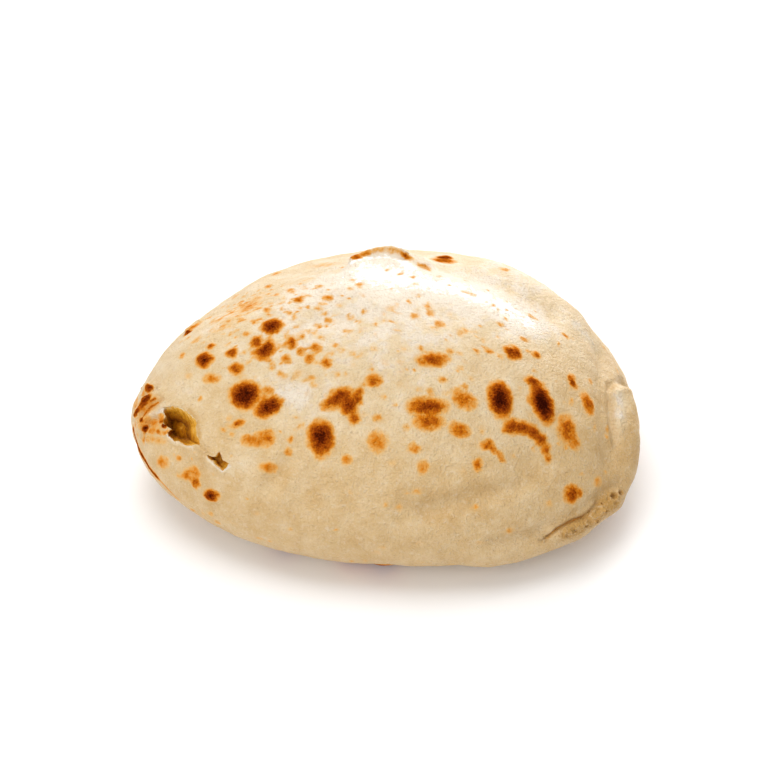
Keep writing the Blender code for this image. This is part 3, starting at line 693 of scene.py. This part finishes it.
def ragged_outline(name, sight):
    """A tear's outline in mm along and up the slope, with small teeth along each edge."""
    place, pixels = TEARS[name]
    centre, along, up_slope, _ = tear_axes(place)
    corners = (sight.line(pixels) - centre) @ np.array([along, up_slope]).T / MM
    draw = np.random.default_rng(TEAR_SEED)
    ragged = []
    for start, end in zip(corners, np.roll(corners, -1, axis=0)):
        for step in range(TEAR_CUTS):
            jitter = draw.uniform(-TEAR_JAG, TEAR_JAG, 2) if step else np.zeros(2)
            ragged.append(start + (end - start) * step / TEAR_CUTS + jitter)
    return np.array(ragged)


def make_tear(name, sight):
    """A cutter whose walls lean in under the torn skin."""
    centre, along, up_slope, outward = tear_axes(TEARS[name][0])
    outline = ragged_outline(name, sight)
    middle = outline.mean(axis=0)
    draw = np.random.default_rng(TEAR_SEED + 1)
    built = bmesh.new()
    rings = []
    for height, scale, shift_along, shift_up in TEAR_WALLS[name]:
        rough = draw.uniform(-TEAR_ROUGH, TEAR_ROUGH, outline.shape) if height < 0 else 0
        level = middle + (outline - middle) * scale + (shift_along, shift_up) + rough
        points = centre + (level @ np.array([along, up_slope]) + outward * height) * MM
        rings.append([built.verts.new(point) for point in points])
    count = len(outline)
    for upper, lower in zip(rings, rings[1:]):
        for i in range(count):
            built.faces.new((upper[i - 1], upper[i], lower[i], lower[i - 1]))
    built.faces.new(rings[0])
    built.faces.new(list(reversed(rings[-1])))
    bmesh.ops.recalc_face_normals(built, faces=built.faces[:])
    bmesh.ops.triangulate(built, faces=built.faces[:])
    return link_mesh(name, built)


def cheese_rings(grow):
    azimuths = np.linspace(-180, 180, CHEESE_SIDES, endpoint=False)
    top, bottom = CHEESE_DEPTH - grow, CHEESE_DEPTH + CHEESE_THICKNESS + grow
    edge = CHEESE_LATITUDES[0] - CHEESE_EDGE_TURN - math.degrees(grow / HEIGHT)
    section = [(latitude, top) for latitude in reversed(CHEESE_LATITUDES)]
    section += [(edge, (top + bottom) / 2)]
    section += [(latitude, bottom) for latitude in CHEESE_LATITUDES]
    built = bmesh.new()
    rings = []
    for latitude, depth in section:
        places = [(azimuth, latitude) for azimuth in azimuths]
        points = skin_at(places)
        inwards = depth - relief_rise(points, BROAD_RELIEF)
        points = points - outward_at(places) * inwards[:, None]
        rings.append([built.verts.new(point) for point in points])
    for inner, outer in zip(rings, rings[1:]):
        for i in range(CHEESE_SIDES):
            built.faces.new((inner[i - 1], outer[i - 1], outer[i]))
            built.faces.new((inner[i - 1], outer[i], inner[i]))
    for ring in (rings[0], rings[-1]):
        hub = built.verts.new(sum((v.co for v in ring), Vector()) / CHEESE_SIDES)
        for i in range(CHEESE_SIDES):
            built.faces.new((ring[i - 1], ring[i], hub))
    bmesh.ops.recalc_face_normals(built, faces=built.faces[:])
    return built


def make_cheese():
    """The melted cheese, which is fine and uneven where the tears show it."""
    built = cheese_rings(0)
    middle = Vector(skin_at([POCKET_PLACE])[0])
    for time in range(CHEESE_FINE_TIMES):
        radius = CHEESE_FINE_RADIUS - CHEESE_FINE_STEP * time
        edges = {
            edge
            for face in built.faces
            if (face.calc_center_median() - middle).length < radius
            for edge in face.edges
        }
        bmesh.ops.subdivide_edges(built, edges=list(edges), cuts=1, use_grid_fill=True)
    bmesh.ops.triangulate(built, faces=built.faces[:])
    cheese = link_mesh("melted_cheese", built)
    points, normals = read_points(cheese.data), read_normals(cheese.data)
    outward = outward_at([POCKET_PLACE])[0]
    away = np.linalg.norm(points - np.array(middle), axis=1)
    seen = bell(away, CHEESE_SWELL_REACH) * (normals @ outward > CHEESE_FACING)
    rise = noise_rise(points, CHEESE_RELIEF, CHEESE_SEED)
    move_vertices(cheese, points + normals * (seen * (rise + CHEESE_SWELL))[:, None])
    return cheese


def cut_away(part, cutters):
    """Cuts the cutters out of a part's mesh and removes them."""
    for cutter in cutters:
        modifier = part.modifiers.new(cutter.name, "BOOLEAN")
        modifier.operation = "DIFFERENCE"
        modifier.solver = "MANIFOLD"
        modifier.object = cutter
    result = bpy.data.meshes.new_from_object(part.evaluated_get(bpy.context.evaluated_depsgraph_get()))
    part.modifiers.clear()
    part.data = result
    for cutter in cutters:
        bpy.data.objects.remove(cutter)


def store(part, name, values):
    field = part.data.attributes.new(name, "FLOAT", "POINT")
    field.data.foreach_set("value", np.asarray(values, np.float32))


def make_naan():
    sight = Sight()
    rough = make_plain_skin("rough_skin", six_sided_sphere(ROUGH_CELLS))
    sight.look_at_skin(rough.data)
    bpy.data.objects.remove(rough)

    built = six_sided_sphere(SKIN_CELLS, SKIN_LIFT)
    for x, y, radius, longest in FINE_PLACES:
        halve_near(built, sight.place(x, y), radius, longest)
    naan = make_plain_skin("naan", built)
    points, normals = read_points(naan.data), read_normals(naan.data)
    rise = fine_rise(points, spot_field(points, sight), sight)
    rise += sum(tear_curl(points, sight.line(pixels)) for _, pixels in TEARS.values())
    points = points + normals * (rise * smooth_step(0, FLAT_FADE, points[:, 2]))[:, None]
    points[:, 2] = points[:, 2].clip(0)
    move_vertices(naan, points)

    sight.look_at_skin(naan.data)
    cutters = [link_mesh("cheese_space", cheese_rings(FIT_GAP))]
    cutters += [make_tear(name, sight) for name in TEARS]
    cut_away(naan, cutters)
    points = read_points(naan.data)
    depth = np.array([sight.tree.find_nearest(Vector(p))[3] for p in points])
    # The char also carries the painted shade in the lip's crease.
    store(naan, "char", char_field(points, sight) * (depth < TORN_DEPTH))
    store(naan, "depth", depth / MM)
    # Golden toast together with painted light: paler on top, and painted shade low, in front and to the
    # right.
    store(naan, "toast_and_light", toast_and_light_field(points, sight))
    return naan


def tear_curl(points, rim):
    """The torn edges stand up a little."""
    near = np.linalg.norm(points - rim.mean(axis=0), axis=1) < EDGE_CURL_RADIUS
    curl = np.zeros(len(points))
    curl[near] = EDGE_CURL * bell(distance_to_line(points[near], np.vstack([rim, rim[:1]])), EDGE_CURL_REACH)
    return curl


def toast_and_light_field(points, sight):
    """How golden the bare dough is, from 0 on top to about 1 low on the front. This is partly real browning
    and flour and partly painted light: paler on top where the light falls, and darker low down, in front and
    to the right where shade falls. The painted highlights and shades of the lines are added to it.
    """
    low = 1 - smooth_step(*TOAST_AND_LIGHT_LOW, points[:, 2])
    front = 1 - smooth_step(*TOAST_AND_LIGHT_FRONT, points[:, 1])
    right = smooth_step(*TOAST_AND_LIGHT_RIGHT, points[:, 0])
    lines = [(sight.line(pixels), reach, share) for pixels, reach, share in FLOURY_AND_PAINTED_LIGHT_LINES]
    # Painted highlights and painted shade ride on these lines along with the real flour and browning.
    flour_and_painted_light = sum(share * bell(distance_to_line(points, line), reach) for line, reach, share in lines)
    return LOW_SHARE * low + FRONT_SHARE * front + RIGHT_SHARE * right - flour_and_painted_light


# ================================================================ materials
def linear(code):
    """A linear RGBA colour from an sRGB hex code."""
    channels = [int(code[k : k + 2], 16) / 255 for k in (1, 3, 5)]
    return (*[c / 12.92 if c <= 0.04045 else ((c + 0.055) / 1.055) ** 2.4 for c in channels], 1)


class Shader:
    """A Principled material and short ways to add the nodes that feed it."""

    def __init__(self, name, **settings):
        self.material = bpy.data.materials.new(name)
        self.material.use_nodes = True
        self.tree = self.material.node_tree
        self.surface = self.tree.nodes["Principled BSDF"]
        for socket, value in settings.items():
            self.surface.inputs[socket.replace("_", " ")].default_value = value
        self.place = self.tree.nodes.new("ShaderNodeTexCoord").outputs["Object"]

    def feed(self, socket, source):
        if isinstance(source, bpy.types.NodeSocket):
            self.tree.links.new(source, socket)
        else:
            socket.default_value = source

    def attribute(self, name):
        node = self.tree.nodes.new("ShaderNodeAttribute")
        node.attribute_name = name
        return node.outputs["Fac"]

    def noise(self, size, detail=2.0, roughness=0.55, warp=0.0):
        node = self.tree.nodes.new("ShaderNodeTexNoise")
        node.inputs["Scale"].default_value = 1 / size
        node.inputs["Detail"].default_value = detail
        node.inputs["Roughness"].default_value = roughness
        node.inputs["Distortion"].default_value = warp
        self.feed(node.inputs["Vector"], self.place)
        return node.outputs["Fac"]

    def cells(self, size):
        node = self.tree.nodes.new("ShaderNodeTexVoronoi")
        node.inputs["Scale"].default_value = 1 / size
        self.feed(node.inputs["Vector"], self.place)
        return node.outputs["Distance"]

    def math(self, operation, first, second=0.0, third=0.0):
        node = self.tree.nodes.new("ShaderNodeMath")
        node.operation = operation
        for socket, source in zip(node.inputs, (first, second, third)):
            self.feed(socket, source)
        return node.outputs[0]

    def span(self, value, low, high, to_low=0.0, to_high=1.0, way="SMOOTHSTEP"):
        node = self.tree.nodes.new("ShaderNodeMapRange")
        node.interpolation_type = way
        for socket, source in zip(node.inputs, (value, low, high, to_low, to_high)):
            self.feed(socket, source)
        return node.outputs[0]

    def mix(self, share, first, second):
        node = self.tree.nodes.new("ShaderNodeMix")
        node.data_type = "RGBA"
        self.feed(node.inputs["Factor"], share)
        for socket, source in ((node.inputs[6], first), (node.inputs[7], second)):
            self.feed(socket, linear(source) if isinstance(source, str) else source)
        return node.outputs[2]

    def ramp(self, value, stops):
        node = self.tree.nodes.new("ShaderNodeValToRGB")
        band = node.color_ramp
        while len(band.elements) < len(stops):
            band.elements.new(0.5)
        for element, (position, code) in zip(band.elements, stops):
            element.position = position
            element.color = linear(code)
        self.feed(node.inputs[0], value)
        return node.outputs["Color"]

    def bump(self, height, distance, below=None):
        node = self.tree.nodes.new("ShaderNodeBump")
        node.inputs["Distance"].default_value = distance
        node.inputs["Strength"].default_value = 1.0
        self.feed(node.inputs["Height"], height)
        if below is not None:
            self.feed(node.inputs["Normal"], below)
        return node.outputs["Normal"]


# Colours from bare dough to the blackest char; the positions are shares of the span.
CHAR_SPAN = 1.2
CHAR_RAMP = (
    (0.0, "#e0b378"), (0.12, "#dfae66"), (0.2, "#db9f50"), (0.28, "#d8903a"), (0.36, "#cf7716"),
    (0.46, "#b85c12"), (0.56, "#a2490c"), (0.67, "#823409"), (0.76, "#622006"), (0.84, "#4a1705"),
    (0.96, "#300a04"),
)
# Colours of the bare dough, from floury to golden; the positions are shares of the span. The value that picks
# them carries painted light too: paler on top, darker where shade falls.
TOAST_AND_LIGHT_SPAN = (-1.0, 2.0)
DOUGH_RAMP = (
    (0.0, "#f0e6d6"), (0.333, "#e4d5c0"), (0.45, "#dec69f"), (0.667, "#d2b280"), (0.95, "#bd914c"),
)
# Colours of the torn dough; the positions are its depth under the skin, as shares of the span in mm.
TORN_SPAN = 10
TORN_RAMP = (
    (0.0, "#f6e6c4"), (0.08, "#f4d080"), (0.17, "#eeb748"), (0.32, "#db9a1c"), (0.5, "#b87608"),
    (0.72, "#925204"),
)


def naan_material():
    s = Shader("naan_crust", Roughness=0.5, Subsurface_Weight=0.06, Subsurface_Scale=3 * MM)
    s.surface.inputs["Subsurface Radius"].default_value = (1.0, 0.55, 0.25)
    coarse, middling, fine = s.noise(9 * MM, 4), s.noise(2.6 * MM, 3, 0.6), s.noise(0.9 * MM, 2)
    grain, pits = s.noise(0.45 * MM, 1), s.cells(1.5 * MM)

    mottle = s.math("MULTIPLY_ADD", coarse, 0.6, s.math("MULTIPLY", middling, 0.4))
    # The dough's colour follows the toast and the painted light: paler on top, darker where shade falls.
    toast_and_light = s.math("ADD", s.attribute("toast_and_light"), s.span(mottle, 0.3, 0.7, -0.4, 0.4))
    dough = s.ramp(s.span(toast_and_light, *TOAST_AND_LIGHT_SPAN, 0.0, 1.0, "LINEAR"), DOUGH_RAMP)
    dough = s.mix(s.span(middling, 0.5, 0.72, 0.0, 0.3), dough, "#efe1c5")
    dough = s.mix(s.span(middling, 0.5, 0.28, 0.0, 0.32), dough, "#c0975e")
    dough = s.mix(s.span(fine, 0.5, 0.75, 0.0, 0.16), dough, "#efe6d6")
    dough = s.mix(s.span(fine, 0.5, 0.25, 0.0, 0.2), dough, "#b0875a")
    pores = s.span(s.cells(3.1 * MM), 0.06, 0.16, 1.0, 0.0)
    dough = s.mix(s.math("MULTIPLY", pores, 0.3), dough, "#a87a45")
    # White flour dusting where the toast value is low; it also paints white the highlights that the lines
    # carry, such as the bright patch over the top.
    dusting_and_highlight = s.math("MULTIPLY_ADD", s.noise(3.0 * MM, 5, 0.7), 2.8, s.attribute("toast_and_light"))
    dough = s.mix(s.span(dusting_and_highlight, 0.4, 0.6, 1.0, 0.0), dough, "#fffdf8")

    char = s.attribute("char")
    ragged = s.math("MULTIPLY_ADD", s.span(middling, 0.3, 0.7, -0.09, 0.09), s.span(char, 0.02, 0.3), char)
    ragged = s.math("MULTIPLY_ADD", s.span(fine, 0.3, 0.7, -0.12, 0.1), s.span(char, 0.3, 0.75), ragged)
    crust = s.ramp(s.math("DIVIDE", ragged, CHAR_SPAN), CHAR_RAMP)
    colour = s.mix(s.span(ragged, 0.0, 0.26), dough, crust)

    crumbly = s.math("ADD", s.span(middling, 0.3, 0.7, -1.3, 1.3), s.attribute("depth"))
    torn = s.ramp(s.math("DIVIDE", crumbly, TORN_SPAN), TORN_RAMP)
    colour = s.mix(s.span(s.attribute("depth"), 0.1, 0.4), colour, torn)
    s.feed(s.surface.inputs["Base Color"], colour)

    s.feed(s.surface.inputs["Specular IOR Level"], s.span(ragged, 0.05, 0.45, 0.35, 0.0))
    bump = s.bump(s.math("MULTIPLY_ADD", grain, 0.25, fine), 0.55 * MM)
    bump = s.bump(pits, 0.3 * MM, bump)
    relief = s.math("ADD", s.span(ragged, 0.3, 0.8), s.span(s.attribute("toast_and_light"), -0.3, 1.0, 1.4, 0.95))
    bump = s.bump(s.math("MULTIPLY", s.noise(2.6 * MM, 4, 0.72), relief), 0.85 * MM, bump)
    s.feed(s.surface.inputs["Normal"], bump)
    return s.material


def cheese_material():
    s = Shader("melted_cheese", Specular_IOR_Level=0.15)
    blotch = s.noise(4.5 * MM, 3, 0.6, 0.4)
    colour = s.ramp(blotch, ((0.36, "#7c4200"), (0.47, "#a66303"), (0.57, "#c17c0e"), (0.68, "#dfa638")))
    s.feed(s.surface.inputs["Base Color"], colour)
    s.feed(s.surface.inputs["Roughness"], s.span(blotch, 0.3, 0.7, 0.55, 0.34))
    s.feed(s.surface.inputs["Normal"], s.bump(s.noise(1.3 * MM, 3), 0.6 * MM))
    return s.material


def floor_material():
    s = Shader("pale_floor", Roughness=0.6, Specular_IOR_Level=0.2)
    s.feed(s.surface.inputs["Base Color"], s.mix(s.noise(60 * MM, 2), "#fbfbfc", "#f7f7f8"))
    return s.material


# ================================================================ stage
FLOOR_HALF_SIZE, FLOOR_DROP = 4, 0.3 * MM
# (name, place, what it points at, diameter, watts)
LIGHTS = (
    ("ceiling", (-0.15, 0.1, 1.2), (0.02, 0.02, 0.06), 0.9, 6.7),
    ("window", (0.42, 1.2, 0.42), (0.02, 0.02, 0.06), 0.7, 12),
    ("front", (-0.8, -1.0, 0.8), (0, 0, 0.03), 0.9, 6.5),
)
LIGHT_COLOUR, SKY_STRENGTH = (1.0, 0.99, 0.97), 0.66
SHARP_ANGLE = 55


def make_floor():
    built = bmesh.new()
    bmesh.ops.create_grid(built, x_segments=1, y_segments=1, size=FLOOR_HALF_SIZE)
    floor = link_mesh("floor", built)
    floor.location.z = -FLOOR_DROP
    floor.data.materials.append(floor_material())


def make_light(name, place, aim, size, power):
    data = bpy.data.lights.new(name, "AREA")
    data.shape = "DISK"
    data.size = size
    data.energy = power
    data.color = LIGHT_COLOUR
    lamp = bpy.data.objects.new(name, data)
    bpy.context.scene.collection.objects.link(lamp)
    lamp.location = place
    lamp.rotation_euler = (Vector(aim) - Vector(place)).to_track_quat("-Z", "Y").to_euler()


def make_lights():
    for light in LIGHTS:
        make_light(*light)
    world = bpy.data.worlds.new("studio")
    world.use_nodes = True
    world.node_tree.nodes["Background"].inputs["Color"].default_value = (1, 1, 1, 1)
    world.node_tree.nodes["Background"].inputs["Strength"].default_value = SKY_STRENGTH
    bpy.context.scene.world = world
    bpy.context.scene.view_settings.view_transform = "Standard"


def make_camera():
    data = bpy.data.cameras.new("camera")
    data.lens = CAMERA_LENS
    data.sensor_width = CAMERA_SENSOR
    camera = bpy.data.objects.new("camera", data)
    bpy.context.scene.collection.objects.link(camera)
    back = Sight().back
    camera.location = CAMERA_TARGET + back * CAMERA_DISTANCE
    camera.rotation_euler = back.to_track_quat("Z", "Y").to_euler()
    bpy.context.scene.camera = camera


def dress(piece, node, material):
    piece.data.materials.clear()
    piece.data.materials.append(material)
    piece.data.shade_smooth()
    piece.data.set_sharp_from_angle(angle=math.radians(SHARP_ANGLE))
    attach(piece, "root")
    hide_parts(node)


def main():
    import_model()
    dress(make_naan(), "naan_bread", naan_material())
    dress(make_cheese(), "cheese_filling", cheese_material())
    make_floor()
    make_lights()
    make_camera()


main()
